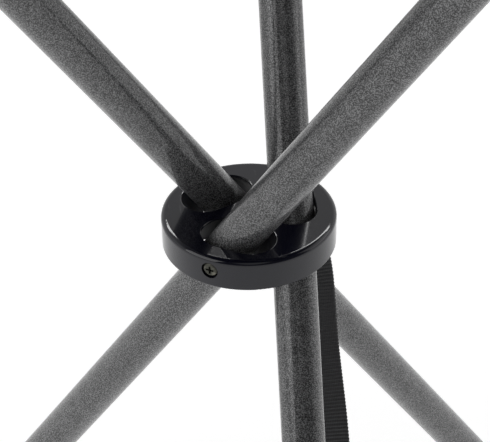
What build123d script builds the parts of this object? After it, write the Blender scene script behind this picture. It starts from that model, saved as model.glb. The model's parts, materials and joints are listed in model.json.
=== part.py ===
"""Folding tripod stool: three tubes that cross in a slotted plastic hub and swing on radial screws.

The model is drawn about the hub: +Z is up, the hub's axis is the Z axis and the three screws lie at height zero.
The pieces are written with the origin on the floor, under the middle of the whole stool.
"""

import os
from math import cos, radians, sin

from build123d import *

# Driving dimensions, in millimetres and degrees
leg_azimuths = {"a": 240.0, "b": 120.0, "c": 0.0}
splay = 34.0  # each leg's tilt from vertical when the stool is open
pivot_radius = 19.6  # from the hub's axis to a leg's axis

tube_radius = 10.0
tube_wall = 1.2
leg_below = 350.0  # from the pivot to the tube's lower end
leg_above = 255.0  # from the pivot to the tube's upper end

hub_radius = 39.8
hub_top = 6.9
hub_bottom = -8.2
hub_top_round = 2.4
hub_bottom_round = 0.5
slot_half_width = 11.0
slot_half_length = 17.1
slot_lean = 0.70  # sideways run of a slot for each unit of height
slot_lip_round = 0.6

screw_radius = 1.75
screw_head_radius = 3.6
screw_head_height = 2.6
cross_length = 3.9
cross_width = 1.0
cross_middle = 1.6
cross_depth = 1.5
recess_radius = 3.95
head_seat = 36.9  # radius at which a screw's head bears
screw_tip = 3.9  # radius at which a screw ends
insert_radius = 2.7
insert_wall_gap = 0.02

bush_bore = 1.81
bush_radius = 3.5
flange_radius = 5.9
flange_thickness = 0.7

foot_ball = 14.5
foot_collar_radius = 12.2
foot_length = 34.5
foot_drop = 1.8  # from the tube's end to the middle of the ball
sole_cut = 1.4

pocket_bore = 10.4
pocket_cloth = 1.4
pocket_length = 42.0
cap_dome = 3.6
cap_flange = 1.3
cap_plug_length = 12.7
cap_wall = 1.6

seat_corner_reach = 145.5
seat_corner_round = 15.5
seat_corner_turn = 82.0  # from leg c's screw round to leg c's seat corner
seat_cloth = 2.2
seat_clearance = 0.5
seat_sag = 18.2  # how far the middle hangs below the corners

strap_width = 20.0
strap_thickness = 1.4
strap_hole = 2.2
strap_gap = 0.3
strap_screw_at = (25.0, 22.7)
strap_screw_length = 10.0
washer_radius = 4.5
washer_thickness = 0.9
rivet_along = 204.5  # from the pivot down leg c to the rivet
rivet_head_radius = 4.2
rivet_head_height = 1.5

# The strap's middle line: x, y, z, and the turn of its width from crosswise, in degrees
strap_top = hub_bottom - strap_gap - strap_thickness / 2
strap_route = [
    (25.0, 29.1, strap_top, 0),
    (25.0, 16.9, strap_top, 0),
    (25.3, 13.8, strap_top - 1.36, 0),
    (25.7, 12.6, strap_top - 4.55, 0),
    (27.2, 12.4, -21.8, 0),
    (30.6, 10.9, -41.8, 0),
    (32.7, 1.8, -76.5, 4),
    (35.6, -15.5, -111.0, 14),
    (36.6, -38.2, -138.0, 32),
    (36.4, -62.0, -156.5, 52),
    (33.8, -83.5, -166.5, 72),
]

# Dimensions that follow
lean = radians(splay)
sole_height = -(leg_below + foot_drop) * cos(lean) - foot_ball + sole_cut
pocket_end = leg_above + cap_dome + pocket_cloth + 0.5
pocket_radius = pocket_bore + pocket_cloth
pocket_peak = pocket_end * cos(lean) + pocket_radius * sin(lean)
pocket_peak_reach = pocket_end * sin(lean) - pocket_radius * cos(lean)

pieces = []


def finish(piece, label):
    """Names a finished piece and keeps it for writing."""
    piece.part.label = label
    pieces.append(piece.part)


def radial(azimuth):
    """The horizontal direction from the hub's axis towards one screw."""
    return Vector(cos(radians(azimuth)), sin(radians(azimuth)), 0)


def leg_direction(azimuth):
    """The direction in which one open leg rises."""
    sideways = Vector(-sin(radians(azimuth)), cos(radians(azimuth)), 0)
    return sideways * sin(lean) + Vector(0, 0, cos(lean))


def leg_axis(azimuth):
    """A leg's centre line, from its pivot upwards."""
    return Axis(radial(azimuth) * pivot_radius, leg_direction(azimuth))


def leg_section(azimuth):
    """The plane in which a leg's turned shapes are drawn: x is outwards from the hub, y is up the leg."""
    out = radial(azimuth)
    return Plane(out * pivot_radius, x_dir=out, z_dir=out.cross(leg_direction(azimuth)))


def screw_axis(azimuth):
    """A pivot screw's centre line, from the hub's axis outwards."""
    return Axis((0, 0, 0), radial(azimuth))


def screw_section(azimuth):
    """The plane in which a screw's turned shapes are drawn: x is outwards along the screw, y is up."""
    out = radial(azimuth)
    return Plane((0, 0, 0), x_dir=out, z_dir=out.cross(Vector(0, 0, 1)))


def screw_plane(azimuth, distance):
    """A plane square to a pivot screw, at a distance from the hub's axis."""
    out = radial(azimuth)
    return Plane(out * distance, x_dir=(0, 0, 1), z_dir=out)


# Hub: a moulded disc with three leaning slots, three screw holes with recesses and a hole for the strap's screw
with BuildPart() as hub:
    with BuildSketch(Plane.XY.offset(hub_bottom)):
        Circle(hub_radius)
    extrude(amount=hub_top - hub_bottom)
    fillet(hub.edges().group_by(Axis.Z)[-1], hub_top_round)
    fillet(hub.edges().group_by(Axis.Z)[0], hub_bottom_round)
    for azimuth in leg_azimuths.values():
        top_face = Plane((0, 0, hub_top), x_dir=radial(azimuth), z_dir=(0, 0, 1))
        bottom_face = Plane((0, 0, hub_bottom), x_dir=radial(azimuth), z_dir=(0, 0, 1))
        for face, height in ((bottom_face, hub_bottom), (top_face, hub_top)):
            with BuildSketch(face):
                with Locations((pivot_radius, slot_lean * height)):
                    SlotOverall(2 * slot_half_length, 2 * slot_half_width, rotation=90)
        loft(mode=Mode.SUBTRACT)
    slot_lips = [
        edge
        for edge in hub.edges().group_by(Axis.Z)[-1]
        if edge.center(CenterOf.BOUNDING_BOX).length - hub_top > 1
    ]
    fillet(slot_lips, slot_lip_round)
    for azimuth in leg_azimuths.values():
        with BuildSketch(screw_plane(azimuth, screw_tip - 0.45)):
            Circle(screw_radius + 0.1)
        extrude(amount=hub_radius, mode=Mode.SUBTRACT)
        with BuildSketch(screw_plane(azimuth, head_seat)):
            Circle(recess_radius)
        extrude(amount=hub_radius, mode=Mode.SUBTRACT)
        with BuildSketch(screw_plane(azimuth, screw_tip - 0.1)):
            Circle(insert_radius)
        extrude(amount=pivot_radius - screw_tip, mode=Mode.SUBTRACT)
    with BuildSketch(Plane.XY.offset(hub_bottom)):
        with Locations(strap_screw_at):
            Circle(screw_radius)
    extrude(amount=strap_screw_length, mode=Mode.SUBTRACT)
finish(hub, "hub")

for name, azimuth in leg_azimuths.items():
    # Tube: drawn steel, cross-drilled for the bushes
    with BuildPart() as tube:
        with BuildSketch(leg_section(azimuth)):
            with Locations((tube_radius - tube_wall / 2, (leg_above - leg_below) / 2)):
                Rectangle(tube_wall, leg_above + leg_below)
        revolve(axis=leg_axis(azimuth))
        with BuildSketch(screw_plane(azimuth, pivot_radius)):
            Circle(bush_radius + 0.02)
        extrude(amount=tube_radius + 1, both=True, mode=Mode.SUBTRACT)
        if name == "c":
            rivet_point = leg_axis(azimuth).position - leg_direction(azimuth) * rivet_along
            with BuildSketch(Plane(rivet_point, z_dir=radial(azimuth))):
                Circle(screw_radius)
            extrude(amount=tube_radius + 1, mode=Mode.SUBTRACT)
    finish(tube, f"leg_tube_{name}")

    # Bushes: two flanged nylon halves, pushed into the tube from both sides
    with BuildPart() as bushes:
        flange_face = tube_radius + 0.05
        for side in (-1, 1):
            with BuildSketch(screw_section(azimuth)) as half_bush:
                with BuildLine():
                    Polyline(
                        (pivot_radius + side * 0.1, bush_bore),
                        (pivot_radius + side * 0.1, bush_radius),
                        (pivot_radius + side * flange_face, bush_radius),
                        (pivot_radius + side * flange_face, flange_radius),
                        (pivot_radius + side * (flange_face + flange_thickness), flange_radius),
                        (pivot_radius + side * (flange_face + flange_thickness), bush_bore),
                        close=True,
                    )
                make_face()
            revolve(axis=screw_axis(azimuth))
    finish(bushes, f"pivot_bushes_{name}")

    # Screw: cross-head, from the rim to the hub's core
    with BuildPart() as screw:
        head_face = head_seat + screw_head_height
        with BuildSketch(screw_section(azimuth)):
            with BuildLine():
                Line((screw_tip, 0), (head_face, 0))
                Line((head_face, 0), (head_face, screw_head_radius - 1.45))
                ThreePointArc(
                    (head_face, screw_head_radius - 1.45),
                    (head_face - 0.38, screw_head_radius - 0.5),
                    (head_face - 1.09, screw_head_radius),
                )
                Polyline(
                    (head_face - 1.09, screw_head_radius),
                    (head_seat, screw_head_radius),
                    (head_seat, screw_radius),
                    (screw_tip + 0.55, screw_radius),
                    (screw_tip, screw_radius - 0.45),
                    (screw_tip, 0),
                )
            make_face()
        revolve(axis=screw_axis(azimuth))
        with BuildSketch(screw_plane(azimuth, head_face)):
            Rectangle(cross_length, cross_width)
            Rectangle(cross_width, cross_length)
            Rectangle(cross_middle, cross_middle, rotation=45)
        extrude(amount=-cross_depth, taper=12, mode=Mode.SUBTRACT)
    finish(screw, f"pivot_screw_{name}")

    # Insert: a turned brass sleeve with a grooved middle, moulded into the hub's core
    with BuildPart() as insert:
        insert_end = pivot_radius - slot_half_width - 0.1
        groove = (screw_tip + insert_end) / 2
        with BuildSketch(screw_section(azimuth)):
            with BuildLine():
                Polyline(
                    (screw_tip, screw_radius + insert_wall_gap),
                    (screw_tip, insert_radius),
                    (groove - 0.55, insert_radius),
                    (groove - 0.27, insert_radius - 0.32),
                    (groove + 0.27, insert_radius - 0.32),
                    (groove + 0.55, insert_radius),
                    (insert_end, insert_radius),
                    (insert_end, screw_radius + insert_wall_gap),
                    close=True,
                )
            make_face()
        revolve(axis=screw_axis(azimuth))
    finish(insert, f"pivot_insert_{name}")

    # Foot: a rubber boot with two grip rings and a ball end, cut flat where it stands on the floor
    with BuildPart() as foot:
        end = -leg_below
        collar = end + foot_length
        ball_centre = end - foot_drop
        with BuildSketch(leg_section(azimuth)):
            with BuildLine():
                Polyline(
                    (0, ball_centre - foot_ball),
                    (0, end),
                    (tube_radius + 0.03, end),
                    (tube_radius + 0.03, collar),
                    (foot_collar_radius - 0.55, collar),
                    (foot_collar_radius, collar - 0.73),
                    (foot_collar_radius, collar - 3.64),
                    (foot_collar_radius - 0.73, collar - 4.55),
                    (foot_collar_radius - 0.55, collar - 7.27),
                    (foot_collar_radius + 0.36, collar - 8.2),
                    (foot_collar_radius + 0.45, collar - 10.9),
                    (foot_collar_radius - 0.27, collar - 11.8),
                    (foot_ball - 1.45, end + 9.1),
                )
                ThreePointArc(
                    (foot_ball - 1.45, end + 9.1),
                    (foot_ball - 0.41, end + 3.82),
                    (foot_ball, ball_centre),
                )
                ThreePointArc(
                    (foot_ball, ball_centre),
                    (foot_ball * cos(radians(45)), ball_centre - foot_ball * sin(radians(45))),
                    (0, ball_centre - foot_ball),
                )
            make_face()
        revolve(axis=leg_axis(azimuth))
        split(bisect_by=Plane.XY.offset(sole_height), keep=Keep.TOP)
    finish(foot, f"foot_{name}")

    # Cap: a hollow plug with a domed head, pushed into the tube's upper end
    with BuildPart() as cap:
        plug_radius = tube_radius - tube_wall
        dome_rise = cap_dome - cap_flange
        dome_radius = (tube_radius**2 + dome_rise**2) / (2 * dome_rise)
        dome_centre = leg_above + cap_dome - dome_radius
        with BuildSketch(leg_section(azimuth)):
            with BuildLine():
                Polyline(
                    (0, leg_above),
                    (plug_radius - cap_wall, leg_above),
                    (plug_radius - cap_wall, leg_above - cap_plug_length),
                    (plug_radius - 0.55, leg_above - cap_plug_length),
                    (plug_radius, leg_above - cap_plug_length + 1.82),
                    (plug_radius, leg_above),
                    (tube_radius, leg_above),
                    (tube_radius, leg_above + cap_flange),
                )
                ThreePointArc(
                    (tube_radius, leg_above + cap_flange),
                    (tube_radius / 2, dome_centre + (dome_radius**2 - tube_radius**2 / 4) ** 0.5),
                    (0, leg_above + cap_dome),
                )
                Line((0, leg_above + cap_dome), (0, leg_above))
            make_face()
        revolve(axis=leg_axis(azimuth))
    finish(cap, f"top_cap_{name}")

    # Pocket: a closed sleeve of doubled cloth, over the tube's upper end
    with BuildPart() as pocket:
        with BuildSketch(leg_section(azimuth)):
            with BuildLine():
                Polyline(
                    (0, pocket_end - pocket_cloth),
                    (pocket_bore, pocket_end - pocket_cloth),
                    (pocket_bore, pocket_end - pocket_length),
                    (pocket_radius, pocket_end - pocket_length),
                    (pocket_radius, pocket_end - pocket_cloth),
                    (pocket_radius - pocket_cloth, pocket_end),
                    (0, pocket_end),
                    close=True,
                )
            make_face()
        revolve(axis=leg_axis(azimuth))
    finish(pocket, f"seat_pocket_{name}")

# Seat: one sagging panel of cloth, cut as a triangle with round corners, over the three pockets
seat_curve = seat_corner_reach**2 / (2 * seat_sag)
dish_floor = pocket_peak + seat_clearance - pocket_peak_reach**2 / (2 * seat_curve)
with BuildPart() as seat_panel:
    with BuildSketch(Plane.XY.offset(dish_floor - 0.91)):
        with PolarLocations(seat_corner_reach, 3, start_angle=seat_corner_turn):
            Circle(seat_corner_round)
        make_hull()
    extrude(amount=seat_sag + 18.2)
    with Locations((0, 0, dish_floor + seat_curve)):
        Sphere(seat_curve, mode=Mode.INTERSECT)
    with Locations((0, 0, dish_floor + seat_cloth + seat_curve)):
        Sphere(seat_curve, mode=Mode.SUBTRACT)
finish(seat_panel, "seat_panel")

# Carry strap: woven band, flat under the hub, hanging in a slack curve and turned flat against leg c at its end
leg_c = leg_azimuths["c"]
rivet_end = leg_axis(leg_c).position - leg_direction(leg_c) * rivet_along
strap_plane_x = pivot_radius + tube_radius + strap_gap + strap_thickness / 2
strap_stations = strap_route + [
    (strap_plane_x, rivet_end.Y + 8.2, rivet_end.Z - 0.91, 90),
    (strap_plane_x, rivet_end.Y - 8.2, rivet_end.Z + 0.91, 90),
]


def strap_frame(index):
    """The plane square to the strap at one station, with its x axis across the strap."""
    x, y, z, turn = strap_stations[index]
    before = Vector(*strap_stations[max(index - 1, 0)][:3])
    after = Vector(*strap_stations[min(index + 1, len(strap_stations) - 1)][:3])
    along = (after - before).normalized()
    flat = Vector(1, 0, 0) - along * along.X
    across = flat.normalized().rotate(Axis((0, 0, 0), along), turn)
    return Plane((x, y, z), x_dir=across, z_dir=along)


with BuildPart() as carry_strap:
    for index in range(len(strap_stations)):
        with BuildSketch(strap_frame(index)):
            Rectangle(strap_width, strap_thickness)
    loft(ruled=True)
    with BuildSketch(Plane.XY.offset(hub_bottom)):
        with Locations(strap_screw_at):
            Circle(strap_hole)
    extrude(amount=-4.55, mode=Mode.SUBTRACT)
    with BuildSketch(Plane(rivet_end, z_dir=(1, 0, 0))):
        Circle(strap_hole)
    extrude(amount=tube_radius * 2, mode=Mode.SUBTRACT)
finish(carry_strap, "carry_strap")

# Strap screw and washer, up into the hub
strap_face = hub_bottom - 2 * strap_gap - strap_thickness
with BuildPart() as strap_washer:
    with BuildSketch(Plane.XY.offset(strap_face)):
        with Locations(strap_screw_at):
            Circle(washer_radius)
            Circle(screw_radius + 0.15, mode=Mode.SUBTRACT)
    extrude(amount=-washer_thickness)
    chamfer(strap_washer.edges().group_by(Axis.Z)[0].sort_by(Edge.length)[-1], 0.27)
finish(strap_washer, "strap_washer")

with BuildPart() as strap_screw:
    head_plane = Plane.XY.offset(strap_face - washer_thickness)
    with BuildSketch(head_plane):
        with Locations(strap_screw_at):
            Circle(screw_head_radius)
    extrude(amount=-2.18)
    fillet(strap_screw.edges().group_by(Axis.Z)[0], 1.09)
    with BuildSketch(head_plane):
        with Locations(strap_screw_at):
            Circle(screw_radius)
    extrude(amount=strap_screw_length)
    with BuildSketch(head_plane.offset(-2.18)):
        with Locations(strap_screw_at):
            Rectangle(cross_length, cross_width)
            Rectangle(cross_width, cross_length)
    extrude(amount=1.36, mode=Mode.SUBTRACT)
finish(strap_screw, "strap_screw")

# Rivet and washer, through the strap into leg c
rivet_face = strap_plane_x + strap_thickness / 2 + strap_gap
with BuildPart() as rivet_washer:
    with BuildSketch(Plane((rivet_face, rivet_end.Y, rivet_end.Z), z_dir=(1, 0, 0))):
        Circle(washer_radius)
        Circle(screw_radius + 0.1, mode=Mode.SUBTRACT)
    extrude(amount=washer_thickness)
finish(rivet_washer, "rivet_washer")

with BuildPart() as strap_rivet:
    with BuildSketch(Plane((rivet_face + washer_thickness, rivet_end.Y, rivet_end.Z), z_dir=(1, 0, 0))):
        Circle(rivet_head_radius)
    extrude(amount=rivet_head_height)
    fillet(strap_rivet.edges().group_by(Axis.X)[-1], 1.09)
    with BuildSketch(Plane((rivet_face + washer_thickness, rivet_end.Y, rivet_end.Z), z_dir=(-1, 0, 0))):
        Circle(screw_radius - 0.05)
    extrude(amount=washer_thickness + rivet_face - pivot_radius - tube_radius + 3.64)
finish(strap_rivet, "strap_rivet")

# Written with the origin on the floor, under the middle of the whole stool
os.makedirs("parts", exist_ok=True)
stool_box = Compound(pieces).bounding_box()
shift = Vector(-stool_box.center().X, -stool_box.center().Y, -stool_box.min.Z)
for piece in pieces:
    placed = piece.moved(Location(shift))
    placed.label = piece.label
    export_step(placed, f"parts/{piece.label}.step")

strap_length = sum(
    (Vector(*strap_stations[i + 1][:3]) - Vector(*strap_stations[i][:3])).length
    for i in range(len(strap_stations) - 1)
)
print("hub axis and screw height in the written frame", shift)
print("strap length", round(strap_length, 1))
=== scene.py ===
import json
import math

import bpy
import numpy as np
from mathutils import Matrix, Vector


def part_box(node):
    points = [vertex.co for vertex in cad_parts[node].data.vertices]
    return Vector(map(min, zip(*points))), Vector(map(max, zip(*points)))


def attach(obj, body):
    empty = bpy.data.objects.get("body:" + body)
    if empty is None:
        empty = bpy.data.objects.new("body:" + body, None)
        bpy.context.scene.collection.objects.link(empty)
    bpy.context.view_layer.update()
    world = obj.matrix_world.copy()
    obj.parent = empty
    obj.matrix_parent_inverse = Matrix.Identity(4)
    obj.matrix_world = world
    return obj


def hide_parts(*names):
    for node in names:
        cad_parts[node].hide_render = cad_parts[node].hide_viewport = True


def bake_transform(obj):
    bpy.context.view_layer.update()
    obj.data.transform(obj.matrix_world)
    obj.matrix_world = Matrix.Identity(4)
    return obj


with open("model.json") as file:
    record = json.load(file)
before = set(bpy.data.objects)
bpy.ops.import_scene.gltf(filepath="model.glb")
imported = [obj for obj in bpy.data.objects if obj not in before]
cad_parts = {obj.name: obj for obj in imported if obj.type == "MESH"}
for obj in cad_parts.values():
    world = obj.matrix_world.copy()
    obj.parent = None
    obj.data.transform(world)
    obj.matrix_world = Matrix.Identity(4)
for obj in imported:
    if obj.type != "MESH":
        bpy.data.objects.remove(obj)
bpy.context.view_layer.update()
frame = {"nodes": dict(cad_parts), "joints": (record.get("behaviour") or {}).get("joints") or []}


# Legs: three lengths of welded steel tube that cross in the hub. They are sprayed with a
# hammertone enamel, whose aluminium flake gathers into grains under a clear, hard skin.
LEGS = {"a": 240.0, "b": 120.0, "c": 0.0}  # the azimuth of each leg's pivot, in degrees
PIVOTS = {joint["child"][-1]: np.array(joint["pos_m"]) for joint in frame["joints"]}
AXIS = sum(PIVOTS.values()) / len(PIVOTS)
SPLAY = math.radians(34.0)
PIVOT_RADIUS = float(np.linalg.norm(PIVOTS["c"] - AXIS))


class Wire:
    """A value in a shader: arithmetic on it adds Math nodes, and node() adds any other node."""

    def __init__(self, tree, socket=None):
        self.tree = tree
        self.socket = socket

    def node(self, kind, settings=(), inputs=(), output=0):
        """Adds a node, applies its settings, feeds its sockets and gives one of its outputs."""
        made = self.tree.nodes.new(kind)
        for name, value in dict(settings).items():
            if name == "stops":
                self.fill(made.color_ramp, value)
            else:
                setattr(made, name, value)
        for name, value in dict(inputs).items():
            if isinstance(value, Wire):
                self.tree.links.new(value.socket, made.inputs[name])
            else:
                made.inputs[name].default_value = value
        return Wire(self.tree, made.outputs[output] if made.outputs else None)

    def fill(self, ramp, stops):
        """Sets a ramp's stops from pairs of a place and a grey or a colour."""
        while len(ramp.elements) < len(stops):
            ramp.elements.new(0.5)
        for element, (place, shade) in zip(ramp.elements, stops):
            element.position = place
            element.color = (shade, shade, shade, 1) if np.isscalar(shade) else (*shade, 1)

    def math(self, operation, *values):
        """A Math node on this value and others."""
        return self.node("ShaderNodeMath", {"operation": operation}, enumerate((self, *values)))

    def __add__(self, other):
        return self.math("ADD", other)

    __radd__ = __add__

    def __mul__(self, other):
        return self.math("MULTIPLY", other)

    __rmul__ = __mul__

    def __sub__(self, other):
        return self.math("SUBTRACT", other)

    def __rsub__(self, other):
        return self * -1.0 + other

    def clamped(self):
        """The value held between 0 and 1."""
        return self.node("ShaderNodeClamp", (), {"Value": self})

    def shade(self, dark, light):
        """A colour between two, by this value."""
        settings = {"data_type": "RGBA"}
        inputs = {0: self, 6: (*dark, 1), 7: (*light, 1)}
        return self.node("ShaderNodeMix", settings, inputs, 2)

    def bump(self, strength, distance):
        """A normal that treats this value as a height."""
        inputs = {"Height": self, "Strength": strength, "Distance": distance}
        return self.node("ShaderNodeBump", (), inputs)

    def place(self):
        """The point of the surface in the object's own coordinates, in metres."""
        return self.node("ShaderNodeTexCoord", output="Object")

    def noise(self, per_metre, detail=3.0, roughness=0.55, place=None):
        """Soft random cells, so many to the metre."""
        inputs = {"Vector": place or self.place(), "Scale": per_metre}
        inputs.update({"Detail": detail, "Roughness": roughness})
        return self.node("ShaderNodeTexNoise", (), inputs)

    def ramp(self, *stops):
        """This value through a ramp of greys or colours."""
        return self.node("ShaderNodeValToRGB", {"stops": stops}, {"Fac": self})


def finish_of(name, varying, **fixed):
    """Makes a Principled material: varying gives what changes over the surface, fixed the rest."""
    material = bpy.data.materials.new(name)
    material.use_nodes = True
    tree = material.node_tree
    tree.nodes.clear()
    surface = {key.replace("_", " "): value for key, value in fixed.items()}
    surface.update(varying(Wire(tree)))
    shader = Wire(tree).node("ShaderNodeBsdfPrincipled", (), surface)
    Wire(tree).node("ShaderNodeOutputMaterial", (), {"Surface": shader})
    return material


def hammertone(wire):
    """Grains under a millimetre wide, light where the flake gathers, over faint broader clouds."""
    grain = wire.noise(1800.0, 2.0, 0.7)
    cloud = wire.noise(140.0, 2.0)
    flake = grain.ramp((0.43, 0.0), (0.52, 0.36), (0.59, 1.0))
    tone = (flake * 0.9 + cloud * 0.3 - 0.10).clamped()
    pebbles = wire.noise(820.0, 1.0, 0.4)
    return {
        "Base Color": tone.shade((0.003, 0.003, 0.0035), (0.215, 0.216, 0.220)),
        "Roughness": 0.47 - flake * 0.12,
        "Normal": (pebbles * 0.7 + grain * 0.3).bump(0.35, 0.0003),
    }


ENAMEL = finish_of(
    "hammertone_enamel", hammertone, Metallic=0.4, Coat_Weight=0.6, Coat_Roughness=0.07, Coat_IOR=1.5
)


def wear(node, material):
    """Gives a CAD node one material all over."""
    slots = frame["nodes"][node].data.materials
    slots.clear()
    slots.append(material)


for leg in LEGS:
    wear(f"leg_tube_{leg}", ENAMEL)


# Bushes: moulded nylon halves with thin flanges, pushed into each tube's cross hole so that the
# tube swings on them and not on the screw's thread.
def nylon(wire):
    """Faint clouding and a fine moulded grain."""
    cloud = wire.noise(260.0)
    return {
        "Base Color": cloud.shade((0.035, 0.035, 0.036), (0.06, 0.06, 0.058)),
        "Roughness": 0.42 + cloud * 0.12,
        "Normal": wire.noise(2600.0).bump(0.15, 0.0001),
    }


NYLON = finish_of("bush_nylon", nylon)
for leg in LEGS:
    wear(f"pivot_bushes_{leg}", NYLON)


# Hub: one moulding of glossy black plastic, a thick disc with three leaning slots. Its skin is
# nearly a mirror, with the faint swell that cooling leaves and a few rubbed hairlines, but the
# slots' walls and the middle of the underside are left matt.
SLOT_REACH = 0.0365
HUB_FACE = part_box("hub")[1][2] - 0.0005


def hub_gloss(wire):
    """A slight swell over centimetres, hairline rubs, and dust that dulls small patches. Within the
    slots' reach, what lies under the top face is matt: their walls and the underside."""
    place = wire.node("ShaderNodeMapping", (), {
        "Vector": wire.place(), "Location": (-AXIS[0], -AXIS[1], 0.0),
    })
    low = HUB_FACE - wire.node("ShaderNodeSeparateXYZ", (), {"Vector": place}, 2)
    flat = wire.node("ShaderNodeVectorMath", {"operation": "MULTIPLY"}, {0: place, 1: (1, 1, 0)})
    inside = SLOT_REACH - wire.node("ShaderNodeVectorMath", {"operation": "LENGTH"}, {0: flat}, "Value")
    matt = low.math("GREATER_THAN", 0.0) * inside.math("GREATER_THAN", 0.0)
    swell = wire.noise(26.0, 1.0, 0.3)
    rubs = wire.noise(900.0, 2.0, 0.6, wire.node("ShaderNodeMapping", (), {
        "Vector": wire.place(), "Rotation": (0.3, 0.2, 0.7), "Scale": (1.0, 0.05, 0.3),
    }))
    dust = wire.noise(420.0, 4.0, 0.7).ramp((0.6, 0.0), (0.8, 1.0))
    hair = rubs.ramp((0.66, 0.0), (0.72, 1.0))
    return {
        "Base Color": dust.shade((0.0018, 0.0020, 0.0075), (0.006, 0.006, 0.011)),
        "Roughness": (hair * 0.10 + dust * 0.08 + 0.085 + matt * 0.55).clamped(),
        "Normal": (swell + hair * 0.004).bump(0.10, 0.0015),
    }


HUB_GLOSS = finish_of("hub_gloss_black", hub_gloss, IOR=1.5)
wear("hub", HUB_GLOSS)


# Screws and inserts: cross-head machine screws in dark oiled steel, one through each slot, end
# in grooved brass sleeves that are moulded into the hub's core.
def oiled_steel(wire):
    """Dark, slightly brown steel with a fine turned grain and paler rubbed spots."""
    grain = wire.noise(1800.0, 3.0, 0.6)
    rub = wire.noise(420.0, 2.0).ramp((0.5, 0.0), (0.7, 1.0))
    return {
        "Base Color": rub.shade((0.065, 0.065, 0.054), (0.17, 0.165, 0.135)),
        "Roughness": 0.36 + grain * 0.18,
        "Normal": grain.bump(0.2, 0.0001),
    }


def turned_brass(wire):
    """Warm brass, dulled in patches."""
    patch = wire.noise(700.0)
    return {
        "Base Color": patch.shade((0.42, 0.29, 0.10), (0.66, 0.49, 0.20)),
        "Roughness": 0.25 + patch * 0.2,
    }


OILED_STEEL = finish_of("screw_oiled_steel", oiled_steel, Metallic=0.85)
BRASS = finish_of("insert_brass", turned_brass, Metallic=1.0)
for leg in LEGS:
    wear(f"pivot_screw_{leg}", OILED_STEEL)
    wear(f"pivot_insert_{leg}", BRASS)
wear("strap_screw", OILED_STEEL)


# Feet: boots of black moulded rubber with grip rings and a ball end, pushed over the tubes'
# lower ends. The sole is worn flat and a little grey.
def foot_rubber(wire):
    """Matt black with a fine grain, greyed by dust near the floor."""
    height = wire.node("ShaderNodeSeparateXYZ", (), {"Vector": wire.place()}, 2)
    dust = wire.noise(180.0, 5.0, 0.65)
    low = (1.0 - height * 30.0).clamped()
    grey = (dust.ramp((0.42, 0.0), (0.7, 1.0)) * (low * 0.8 + 0.2)).clamped()
    return {
        "Base Color": grey.shade((0.012, 0.012, 0.012), (0.055, 0.053, 0.05)),
        "Roughness": 0.62 + dust * 0.2,
        "Normal": wire.noise(1900.0, 2.0).bump(0.3, 0.00025),
    }


RUBBER = finish_of("foot_rubber_black", foot_rubber)
for leg in LEGS:
    wear(f"foot_{leg}", RUBBER)


# Caps: black polythene plugs that close the tubes' upper ends inside the seat's pockets.
def cap_plastic(wire):
    """Spark-grained black plastic."""
    grain = wire.noise(1500.0, 2.0)
    return {
        "Base Color": grain.shade((0.014, 0.014, 0.015), (0.03, 0.03, 0.03)),
        "Roughness": 0.5 + grain * 0.15,
        "Normal": grain.bump(0.35, 0.0002),
    }


CAP_PLASTIC = finish_of("cap_grained_plastic", cap_plastic)
for leg in LEGS:
    wear(f"top_cap_{leg}", CAP_PLASTIC)


# Pockets: doubled cloth sleeves, sewn closed over the tubes' upper ends. Each has a hem at its
# mouth, a side seam and small gathers where the cloth is drawn round the cap.
CLOTH = 0.0011
POCKET_MOUTH = 0.2187
POCKET_TOP = 0.2603
POCKET_RADIUS = 0.01115
POCKET_BORE = 0.0104
POCKET_HEM = 0.0095
HEM_RADIUS = 0.01155
HEM_STITCH_RADIUS = 0.01172
HEM_STITCH_ROWS = (0.0066, 0.0022)
DOME_RADIUS = 0.0110
DOME_HEIGHT = 0.0045
POCKET_SIDES = 72


def piece_of(name, mesh, material):
    """Adds a smooth-shaded piece at the origin, wearing one material."""
    mesh.shade_smooth()
    mesh.materials.append(material)
    piece = bpy.data.objects.new(name, mesh)
    bpy.context.scene.collection.objects.link(piece)
    return piece


def ring_mesh(name, points):
    """Joins rows of points into a closed skin: each row is a ring, and the end rings are filled."""
    rows, columns = points.shape[:2]
    index = np.arange(rows * columns).reshape(rows, columns)
    after = np.roll(index, -1, axis=1)
    quads = np.stack([index[:-1], index[1:], after[1:], after[:-1]], -1).reshape(-1, 4)
    faces = [*quads.tolist(), index[0].tolist(), index[-1, ::-1].tolist()]
    mesh = bpy.data.meshes.new(name)
    mesh.from_pydata(points.reshape(-1, 3).tolist(), [], faces)
    return mesh


def leg_frame(azimuth):
    """An open leg's pivot, its rising direction, and the two directions square to it."""
    turn = math.radians(azimuth)
    out = np.array([math.cos(turn), math.sin(turn), 0.0])
    sideways = np.array([-math.sin(turn), math.cos(turn), 0.0])
    rise = sideways * math.sin(SPLAY) + np.array([0.0, 0.0, math.cos(SPLAY)])
    return AXIS + out * PIVOT_RADIUS, rise, out, np.cross(rise, out)


def pack_cloth(wire):
    """Plain weave: two crossed sets of threads, over faint fading and rubbed high spots."""
    waves = {"Vector": wire.place(), "Scale": 340.0, "Distortion": 0.7, "Detail": 1.0}
    warp = wire.node("ShaderNodeTexWave", {"bands_direction": "X"}, waves, "Fac")
    weft = wire.node("ShaderNodeTexWave", {"bands_direction": "Y"}, waves, "Fac")
    fading = wire.noise(22.0, 4.0)
    weave = warp * 0.5 + weft * 0.5
    tone = (weave * 0.55 + fading * 0.6 - 0.1).clamped()
    return {
        "Base Color": tone.shade((0.006, 0.006, 0.007), (0.030, 0.030, 0.034)),
        "Roughness": 0.66 + weave * 0.2,
        "Normal": weave.bump(0.5, 0.00022),
    }


def thread(wire):
    """Twisted sewing thread, a little lighter and glossier than the cloth."""
    twist = wire.noise(2400.0, 2.0)
    return {
        "Base Color": twist.shade((0.018, 0.018, 0.020), (0.085, 0.085, 0.09)),
        "Roughness": 0.45 + twist * 0.2,
    }


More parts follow.
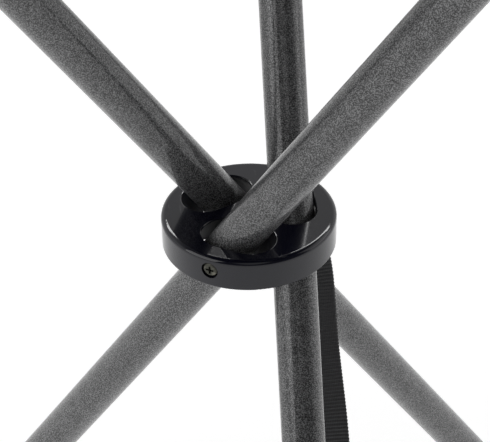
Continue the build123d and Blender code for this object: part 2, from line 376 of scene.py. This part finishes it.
CLOTH_FINISH = finish_of("seat_pack_cloth", pack_cloth, Sheen_Weight=0.06, Sheen_Roughness=0.4)
THREAD = finish_of("sewing_thread", thread, Sheen_Weight=0.2)


def stitch_row(path, up, length=0.0022, gap=0.0010, radius=0.00026):
    """Thread along a path: equal lengths of it, each a spindle whose radius is the thread's times
    the cube root of a half sine, lie on the side that the up vectors point to."""
    steps = np.linalg.norm(np.diff(path, axis=0), axis=1)
    travelled = np.concatenate([[0.0], np.cumsum(steps)])
    count = max(int(travelled[-1] / (length + gap)), 1)
    middles = (np.arange(count) + 0.5) * travelled[-1] / count
    share = np.linspace(0.02, 0.98, 6)
    at = middles[:, None] + (share - 0.5) * length
    centre = np.stack([np.interp(at, travelled, path[:, k]) for k in range(3)], -1)
    lift = np.stack([np.interp(at, travelled, up[:, k]) for k in range(3)], -1)
    lift /= np.linalg.norm(lift, axis=-1)[..., None]
    along = centre[:, -1:] - centre[:, :1]
    across = np.cross(along / np.linalg.norm(along, axis=-1)[..., None], lift)
    angle = (np.arange(6) * np.pi / 3)[:, None]
    ring = across[:, :, None] * np.cos(angle) + lift[:, :, None] * np.sin(angle)
    thick = radius * np.sin(np.pi * share) ** (1 / 3)
    return centre[:, :, None] + ring * thick[:, None, None]


def stitches(name, runs):
    """Makes one mesh of all the stitches of several rows of thread."""
    rows = np.concatenate(runs)
    count, rings, around = rows.shape[:3]
    index = np.arange(rows.size // 3).reshape(count, rings, around)
    after = np.roll(index, -1, axis=2)
    quads = np.stack([index[:, :-1], index[:, 1:], after[:, 1:], after[:, :-1]], -1).reshape(-1, 4)
    ends = np.concatenate([index[:, 0], index[:, -1, ::-1]])
    mesh = bpy.data.meshes.new(name)
    mesh.from_pydata(rows.reshape(-1, 3).tolist(), [], [*quads.tolist(), *ends.tolist()])
    return piece_of(name, mesh, THREAD)


def pocket_points(azimuth, along, radius, turn):
    """Points of a sleeve round a leg: two sets of low gathers, which grow towards the closed end,
    and a ridge for the side seam swell the radius."""
    pivot, rise, out, side = leg_frame(azimuth)
    height = (along - POCKET_MOUTH) / (POCKET_TOP - POCKET_MOUTH)
    wide_gather = 0.00028 * np.cos(5.0 * turn + 4.0 * height)
    gather = wide_gather + 0.00016 * np.cos(11.0 * turn - 3.0 * height)
    from_seam = np.angle(np.exp(1j * (turn + np.pi / 2)))
    seam = 0.0005 * np.exp(-((from_seam / 0.13) ** 2))
    swell = radius + (gather * np.clip(height, 0.0, 1.0) + seam) * np.clip(radius / 0.008, 0.0, 1.0)
    ring = out * np.cos(turn)[..., None] + side * np.sin(turn)[..., None]
    return pivot + rise * along[..., None] + ring * swell[..., None]


def pocket_profile():
    """Down the outside of the sleeve from its closed end, round the doubled hem and up inside."""
    arc = np.linspace(0.02, np.pi / 2, 12)
    dome = np.stack([POCKET_TOP - DOME_HEIGHT * (1.0 - np.cos(arc)), DOME_RADIUS * np.sin(arc)], -1)
    wall = np.linspace(POCKET_TOP - DOME_HEIGHT - CLOTH, POCKET_MOUTH + POCKET_HEM, 24)
    hem = np.linspace(POCKET_MOUTH + POCKET_HEM - 0.0007, POCKET_MOUTH + 0.0004, 9)
    crown = 0.0002 * np.sin(np.linspace(0.0, np.pi, len(hem)))
    return np.concatenate([
        dome,
        np.stack([wall, np.full(len(wall), POCKET_RADIUS)], -1),
        np.stack([hem, HEM_RADIUS + crown], -1),
        [[POCKET_MOUTH, 0.0111], [POCKET_MOUTH + 0.0003, POCKET_BORE]],
        [[POCKET_TOP - 0.0060, 0.01035]],
        np.stack([dome[::-1, 0] - CLOTH, dome[::-1, 1] * 0.93], -1),
    ])


around = np.arange(POCKET_SIDES) * 2.0 * np.pi / POCKET_SIDES
hem_turn = np.append(around, 2.0 * np.pi)
profile = pocket_profile()
along_grid, turn_grid = np.meshgrid(profile[:, 0], around, indexing="ij")
radius_grid = np.repeat(profile[:, 1:], POCKET_SIDES, axis=1)
for leg, azimuth in LEGS.items():
    rings = pocket_points(azimuth, along_grid, radius_grid, turn_grid)
    pocket = piece_of(f"pocket_cloth_{leg}", ring_mesh(f"pocket_cloth_{leg}", rings), CLOTH_FINISH)
    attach(pocket, f"leg_{leg}")
    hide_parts(f"seat_pocket_{leg}")
    mouth = np.full_like(hem_turn, POCKET_MOUTH)
    outward = pocket_points(azimuth, mouth, np.ones_like(mouth), hem_turn) - leg_frame(azimuth)[0]
    runs = []
    for height in HEM_STITCH_ROWS:
        radius = np.full_like(mouth, HEM_STITCH_RADIUS)
        line = pocket_points(azimuth, mouth + height, radius, hem_turn)
        runs.append(stitch_row(line, outward))
    sewing = stitches(f"pocket_stitches_{leg}", runs)
    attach(sewing, f"leg_{leg}")


# Seat: three kite-shaped pieces of black pack cloth, sewn to one another along lines that meet
# in the middle, hemmed along the outer edge and doubled at the corners, which carry the load.
SEAT_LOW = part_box("seat_panel")[0][2] + 0.0012
SEAT_REACH = 0.1455
CORNER_ROUND = 0.0155
CORNER_TURN = 82.0
SEAT_SAG = 0.0182
HEM_WIDTH = 0.012
PATCH_FROM = 0.102
EDGE_STEP = 0.0006
FELL_WIDTH = 0.0055
STITCH_MARGIN = 0.0022
FELL_STITCH = 0.0036
FOLD_FAN = 0.168


def skin_mesh(name, upper, lower):
    """Closes an upper and a lower grid of points into one skin, with a rim round their edges."""
    rows, columns = upper.shape[:2]
    top = np.arange(rows * columns).reshape(rows, columns)
    quads = np.stack([top[:-1, :-1], top[1:, :-1], top[1:, 1:], top[:-1, 1:]], -1).reshape(-1, 4)
    rim = np.concatenate([top[0, :-1], top[:-1, -1], top[-1, :0:-1], top[:0:-1, 0]])
    ahead = np.roll(rim, -1)
    under = rows * columns
    edge = np.stack([rim, ahead, ahead + under, rim + under], -1)
    faces = np.concatenate([quads, quads[:, ::-1] + under, edge])
    points = np.concatenate([upper.reshape(-1, 3), lower.reshape(-1, 3)])
    mesh = bpy.data.meshes.new(name)
    mesh.from_pydata(points.tolist(), [], faces.tolist())
    return mesh


def smooth_step(low, high, value):
    """0 below low, 1 above high, and an even S between."""
    share = np.clip((value - low) / (high - low), 0.0, 1.0)
    return share * share * (3.0 - 2.0 * share)


def seat_outline(turn):
    """Distance from the middle to the cut edge, by the turn from the corner in radians: a round
    corner of CORNER_ROUND about the reach, then the straight edge that touches two corners."""
    turn = np.abs(turn)
    straight = (SEAT_REACH * 0.5 + CORNER_ROUND) / np.cos(np.pi / 3 - turn)
    inside = np.maximum(CORNER_ROUND**2 - (SEAT_REACH * np.sin(turn)) ** 2, 0.0)
    corner = SEAT_REACH * np.cos(turn) + np.sqrt(inside)
    touch = math.atan2(CORNER_ROUND * math.sin(math.pi / 3), SEAT_REACH + CORNER_ROUND * 0.5)
    return np.where(turn < touch, corner, straight)


def seat_height(reach, turn, edge):
    """Height of the cloth's middle above its lowest place: the sag grows as the square of the
    reach, low folds fan out from a point beyond each corner, and the hem ripples between corners."""
    dish = SEAT_SAG * (reach / SEAT_REACH) ** 2
    across = reach * np.sin(turn)
    along = reach * np.cos(turn)
    spread = np.arctan2(across, np.maximum(FOLD_FAN - along, 0.02))
    pull = smooth_step(0.028, 0.09, along) * (1.0 - smooth_step(0.112, 0.136, along))
    fading = 1.0 - smooth_step(0.7, 1.25, np.abs(spread))
    folds = 0.0008 * pull * np.cos(spread * 15.0 + 0.6) * fading
    ripple = 0.0006 * smooth_step(0.55, 1.0, reach / edge) * np.cos(turn * 21.0) * (1.0 - pull)
    return dish + folds + ripple


def seat_thickness(reach, turn, edge):
    """One layer of cloth, two in the hem and the corner patch, and pinched in at each seam."""
    along = reach * np.cos(turn)
    to_edge = (edge - reach) * np.cos(np.pi / 3 - np.abs(turn))
    hem = 1.0 - smooth_step(HEM_WIDTH - EDGE_STEP, HEM_WIDTH + EDGE_STEP, to_edge)
    patch = smooth_step(PATCH_FROM - EDGE_STEP, PATCH_FROM + EDGE_STEP, along)
    to_join = reach * np.sin(np.pi / 3 - np.abs(turn))
    fell = 1.0 - smooth_step(FELL_WIDTH - 0.0005, FELL_WIDTH + 0.0005, to_join)
    groove = np.exp(-((to_join / 0.0009) ** 2))
    return CLOTH * (1.0 + np.maximum(np.maximum(hem, patch), fell) * 0.9 - 0.6 * groove)


def seat_points(reach, turn, corner_azimuth, side):
    """The upper (side 1) or lower (side -1) face of the seat, in the frame."""
    edge = seat_outline(turn)
    azimuth = math.radians(corner_azimuth) + turn
    offset = side * 0.5 * seat_thickness(reach, turn, edge)
    height = SEAT_LOW + seat_height(reach, turn, edge) + offset
    flat = [AXIS[0] + reach * np.cos(azimuth), AXIS[1] + reach * np.sin(azimuth)]
    return np.stack([*flat, height], -1)


def seat_seam(turns, reaches, corner_azimuth):
    """Stitches along a line of the seat's upper face."""
    line = seat_points(reaches, turns, corner_azimuth, 1.0) + [0.0, 0.0, 0.0001]
    return stitch_row(line, np.tile([0.0, 0.0, 1.0], (len(line), 1)), 0.0026, 0.0012)


# The grid is finer across each corner and towards the hem; the sewing runs are the same on all.
wing = np.linspace(0.125, np.pi / 3, 60)
turns = np.concatenate([-wing[::-1], np.linspace(-0.12, 0.12, 41), wing])
shares = np.concatenate([np.linspace(0.003, 0.83, 90), np.linspace(0.835, 0.9995, 60)])
share_grid, turn_grid = np.meshgrid(shares, turns, indexing="ij")
edge_turn = np.linspace(-np.pi / 3 + 0.02, np.pi / 3 - 0.02, 400)
slant = np.cos(np.pi / 3 - np.abs(edge_turn))
hem_reach = seat_outline(edge_turn) - (HEM_WIDTH - STITCH_MARGIN) / slant
edge_reach = seat_outline(edge_turn) - STITCH_MARGIN / slant
patch_turn = np.linspace(-0.335, 0.335, 60)
patch_reach = (PATCH_FROM + STITCH_MARGIN) / np.cos(patch_turn)
join = np.linspace(0.006, 0.0855, 60)
fell_reach = np.hypot(join, FELL_STITCH)
fell_turn = np.pi / 3 - np.arctan2(FELL_STITCH, join)
for leg, azimuth in LEGS.items():
    corner = azimuth + CORNER_TURN
    reach_grid = share_grid * seat_outline(turn_grid)
    upper = seat_points(reach_grid, turn_grid, corner, 1.0)
    lower = seat_points(reach_grid, turn_grid, corner, -1.0)
    seat = piece_of(f"seat_cloth_{leg}", skin_mesh(f"seat_cloth_{leg}", upper, lower), CLOTH_FINISH)
    sewing = stitches(f"seat_stitches_{leg}", [
        seat_seam(edge_turn, hem_reach, corner),
        seat_seam(edge_turn, edge_reach, corner),
        seat_seam(patch_turn, patch_reach, corner),
        seat_seam(fell_turn, fell_reach, corner),
        seat_seam(-fell_turn, fell_reach, corner),
    ])
    for piece in (seat, sewing):
        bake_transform(piece)
    if leg == "a":
        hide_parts("seat_panel")


# Carry strap: a band of ribbed black webbing, screwed flat under the hub. It hangs in a slack
# curve beside leg c, turns on edge as it goes, and is riveted flat to that leg's outer side.
STRAP_WIDTH = 0.020
STRAP_THICKNESS = 0.0014
STRAP_COLUMNS = 25
RIB_PITCH = 0.00175
YARN_PITCH = 0.00085
STRAP_ROUTE = [  # from the hub's middle: x, y, z in metres, and the turn of the width in degrees
    (0.0250, 0.0291, -0.0092, 0),
    (0.0250, 0.0169, -0.0092, 0),
    (0.0253, 0.0138, -0.01056, 0),
    (0.0257, 0.0126, -0.01375, 0),
    (0.0272, 0.0124, -0.0218, 0),
    (0.0306, 0.0109, -0.0418, 0),
    (0.0327, 0.0018, -0.0765, 4),
    (0.0356, -0.0155, -0.1110, 14),
    (0.0366, -0.0382, -0.1380, 32),
    (0.0364, -0.0620, -0.1565, 52),
    (0.0338, -0.0835, -0.1665, 72),
    (0.0306, -0.1062, -0.1704, 90),
    (0.0306, -0.1226, -0.1686, 90),
]


def smooth_route(stations, per_run=60):
    """Passes a cubic through the stations: each run's end slopes are half the step between the
    stations on either side, and four Hermite weights blend the two ends and the two slopes."""
    stations = np.array(stations, float)
    slopes = np.gradient(stations, axis=0)
    share = np.arange(per_run)[:, None] / per_run
    weights = (
        2 * share**3 - 3 * share**2 + 1,
        share**3 - 2 * share**2 + share,
        3 * share**2 - 2 * share**3,
        share**3 - share**2,
    )
    ends = zip(stations[:-1], slopes[:-1], stations[1:], slopes[1:])
    runs = [sum(weight * value for weight, value in zip(weights, four)) for four in ends]
    return np.concatenate([*runs, stations[-1:]])


def strap_faces():
    """The two faces of the band as grids, with each row's place along it and each column's across.
    Across is the X direction made square to the path and turned about it; each rib raises the faces
    as a rectified sine, and between ribs the edges are pulled in."""
    route = smooth_route(STRAP_ROUTE)
    steps = np.linalg.norm(np.diff(route[:, :3], axis=0), axis=1)
    travelled = np.concatenate([[0.0], np.cumsum(steps)])
    ribs = int(travelled[-1] / RIB_PITCH)
    at = np.linspace(0.0, travelled[-1], ribs * 8 + 1)
    path = np.stack([np.interp(at, travelled, route[:, k]) for k in range(4)], -1)
    centre = AXIS + path[:, :3]
    along = np.gradient(centre, axis=0)
    along /= np.linalg.norm(along, axis=1)[:, None]
    flat = np.array([1.0, 0.0, 0.0]) - along * along[:, :1]
    flat /= np.linalg.norm(flat, axis=1)[:, None]
    turn = np.radians(path[:, 3:])
    across = flat * np.cos(turn) + np.cross(along, flat) * np.sin(turn)
    face = np.cross(along, across)
    rib = np.abs(np.sin(np.pi * at / at[-1] * ribs))[:, None]
    span = np.linspace(-1.0, 1.0, STRAP_COLUMNS)[None, :]
    half = STRAP_WIDTH * 0.5 * (1.0 - 0.025 * (1.0 - rib))
    edge = np.sqrt(np.clip(1.0 - np.abs(span) ** 14, 0.0, 1.0))
    thick = STRAP_THICKNESS * 0.5 * (0.45 + 0.55 * rib) * (0.25 + 0.75 * edge)
    middle = centre[:, None] + across[:, None] * (half * span)[..., None]
    lift = face[:, None] * thick[..., None]
    return middle - lift, middle + lift, at, half * span


def webbing(wire):
    """Ribbed polyester: shiny crowns on the ribs, fine warp yarns along the band, soft wear."""
    band = wire.node("ShaderNodeUVMap", {"uv_map": "band"})
    parts = {"Vector": band}
    across = wire.node("ShaderNodeSeparateXYZ", (), parts, 1)
    along = wire.node("ShaderNodeSeparateXYZ", (), parts, 0)
    yarn = (across * (2.0 * math.pi / YARN_PITCH)).math("SINE") * 0.5 + 0.5
    rib = (along * (math.pi / RIB_PITCH)).math("SINE").math("ABSOLUTE")
    scuff = wire.noise(300.0, 4.0)
    # Painted highlight on the ribs' crowns and painted shade in the grooves between them.
    tone = (rib * 0.75 + yarn * 0.3 + scuff * 0.5 - 0.5).clamped()
    return {
        "Base Color": tone.shade((0.0022, 0.0022, 0.0026), (0.050, 0.050, 0.054)),
        "Roughness": 0.60 - rib * 0.18 + scuff * 0.1,
        "Normal": (yarn * 0.5 + rib * 0.6).bump(0.6, 0.00025),
    }


WEBBING = finish_of("strap_webbing", webbing, Sheen_Weight=0.12, Sheen_Roughness=0.35)
upper, lower, along_band, across_band = strap_faces()
strap_mesh = skin_mesh("strap_webbing", upper, lower)
band_map = strap_mesh.uv_layers.new(name="band")
along_band = np.repeat(along_band[:, None], STRAP_COLUMNS, axis=1)
flat_points = np.stack([along_band, across_band], -1)
flat_points = np.tile(flat_points.reshape(-1, 2), (2, 1))
corners = np.empty(len(strap_mesh.loops), np.int32)
strap_mesh.loops.foreach_get("vertex_index", corners)
band_map.data.foreach_set("uv", flat_points[corners].astype(np.float32).ravel())
strap = piece_of("strap_webbing", strap_mesh, WEBBING)
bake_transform(strap)
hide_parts("carry_strap")


# Strap hardware: zinc-plated washers spread the load on the band; the rivet's head is domed.
def zinc(wire):
    """Dull bright zinc with pale bloom and fine scuffs."""
    bloom = wire.noise(520.0, 4.0)
    return {
        "Base Color": bloom.shade((0.36, 0.36, 0.36), (0.62, 0.62, 0.61)),
        "Roughness": 0.3 + bloom * 0.22,
        "Normal": wire.noise(2200.0).bump(0.12, 0.0001),
    }


ZINC = finish_of("hardware_zinc", zinc, Metallic=1.0)
for node in ("strap_washer", "rivet_washer", "strap_rivet"):
    wear(node, ZINC)


# Stage: a white paper floor, soft light from the sides and from behind, and a dim front with one
# glow in it. The camera looks down at the crossing of the legs, a little turned and rolled.
FLOOR_HALF = 12.0
BACKDROP_WHITE = 1.05
FRONT_ABOVE = (0.0, -0.707, 0.707)


def pale_floor(wire):
    """White paper with hardly any tone of its own."""
    fibre = wire.noise(40.0)
    return {
        "Base Color": fibre.shade((0.90, 0.90, 0.90), (0.93, 0.93, 0.93)),
        "Roughness": 0.9 + fibre * 0.1,
    }


FLOOR_PAPER = finish_of(
    "floor_paper", pale_floor,
    Specular_IOR_Level=0.0, Emission_Color=(1, 1, 1, 1), Emission_Strength=0.44,
)
floor_corners = [(x * FLOOR_HALF, y * FLOOR_HALF, 0) for x, y in ((-1, -1), (1, -1), (1, 1), (-1, 1))]
floor_mesh = bpy.data.meshes.new("floor")
floor_mesh.from_pydata(floor_corners, [], [(0, 1, 2, 3)])
floor_mesh.materials.append(FLOOR_PAPER)
floor = bpy.data.objects.new("floor", floor_mesh)
bpy.context.scene.collection.objects.link(floor)


def softbox(name, place, size, power):
    """Adds a rectangular area light that faces the crossing of the legs, from a place that is
    counted from there in metres, with its two sides in metres and its power in watts."""
    light = bpy.data.lights.new(name, "AREA")
    light.shape = "RECTANGLE"
    light.size, light.size_y = size
    light.energy = power
    lamp = bpy.data.objects.new(name, light)
    bpy.context.scene.collection.objects.link(lamp)
    back = np.array(place) / np.linalg.norm(place)
    right = np.cross([0.0, 0.0, 1.0], back)
    right /= np.linalg.norm(right)
    matrix = np.eye(4)
    matrix[:3, :3] = np.stack([right, np.cross(back, right), back], -1)
    matrix[:3, 3] = AXIS + place
    lamp.matrix_world = matrix.T.tolist()


softbox("behind", [0.15, 1.15, 1.12], (2.0, 0.16), 9.0)
softbox("left_side", [-1.5, -0.7, 0.8], (1.4, 1.4), 11.0)
softbox("right_side", [1.6, 0.1, 0.8], (1.4, 1.4), 4.0)

world = bpy.data.worlds.new("studio")
bpy.context.scene.world = world
world.use_nodes = True
world.node_tree.nodes.clear()
sky = Wire(world.node_tree)
direction = sky.node("ShaderNodeTexCoord", output="Generated")
facing = sky.node(
    "ShaderNodeVectorMath", {"operation": "DOT_PRODUCT"}, {0: direction, 1: FRONT_ABOVE}, "Value"
)
height = sky.node("ShaderNodeSeparateXYZ", (), {"Vector": direction}, 2)
dim_front = facing.ramp((0.10, 1.0), (0.50, 0.11), (0.93, 0.11), (0.985, 1.0))
dim_top = height.ramp((0.0, 0.15), (0.02, 1.0), (0.57, 0.62), (0.95, 0.25))
glow = dim_front * dim_top
seen = sky.node("ShaderNodeLightPath", output="Is Camera Ray")
strength = seen * (BACKDROP_WHITE - glow) + glow
backdrop = sky.node("ShaderNodeBackground", (), {"Color": (1, 1, 1, 1), "Strength": strength})
sky.node("ShaderNodeOutputWorld", (), {"Surface": backdrop})

camera_data = bpy.data.cameras.new("camera")
camera_data.lens = 120.27
camera_data.sensor_width = 36.0
camera = bpy.data.objects.new("camera", camera_data)
bpy.context.scene.collection.objects.link(camera)


def camera_matrix(elevation, turn, distance, aim, roll):
    """Stands back from the crossing of the legs at an elevation and a turn, in degrees, then
    looks aside by the two aim angles and rolls about the line of sight."""
    elevation, turn, roll, pan, tilt = np.radians([elevation, turn, roll, *aim])
    level = math.cos(elevation)
    back = np.array([-level * math.sin(turn), -level * math.cos(turn), math.sin(elevation)])
    right = np.array([math.cos(turn), -math.sin(turn), 0.0])
    place = AXIS + back * distance
    ahead = -back + math.tan(pan) * right + math.tan(tilt) * np.cross(back, right)
    ahead /= np.linalg.norm(ahead)
    right = right - ahead * (right @ ahead)
    right /= np.linalg.norm(right)
    up = np.cross(right, ahead)
    matrix = np.eye(4)
    matrix[:3, 0] = math.cos(roll) * right + math.sin(roll) * up
    matrix[:3, 1] = math.cos(roll) * up - math.sin(roll) * right
    matrix[:3, 2], matrix[:3, 3] = -ahead, place
    return matrix


camera.matrix_world = camera_matrix(
    elevation=35.6, turn=3.66, distance=0.7436, aim=(-0.138, 0.052), roll=-1.01
).T.tolist()
bpy.context.scene.camera = camera
bpy.context.scene.view_settings.view_transform = "Standard"
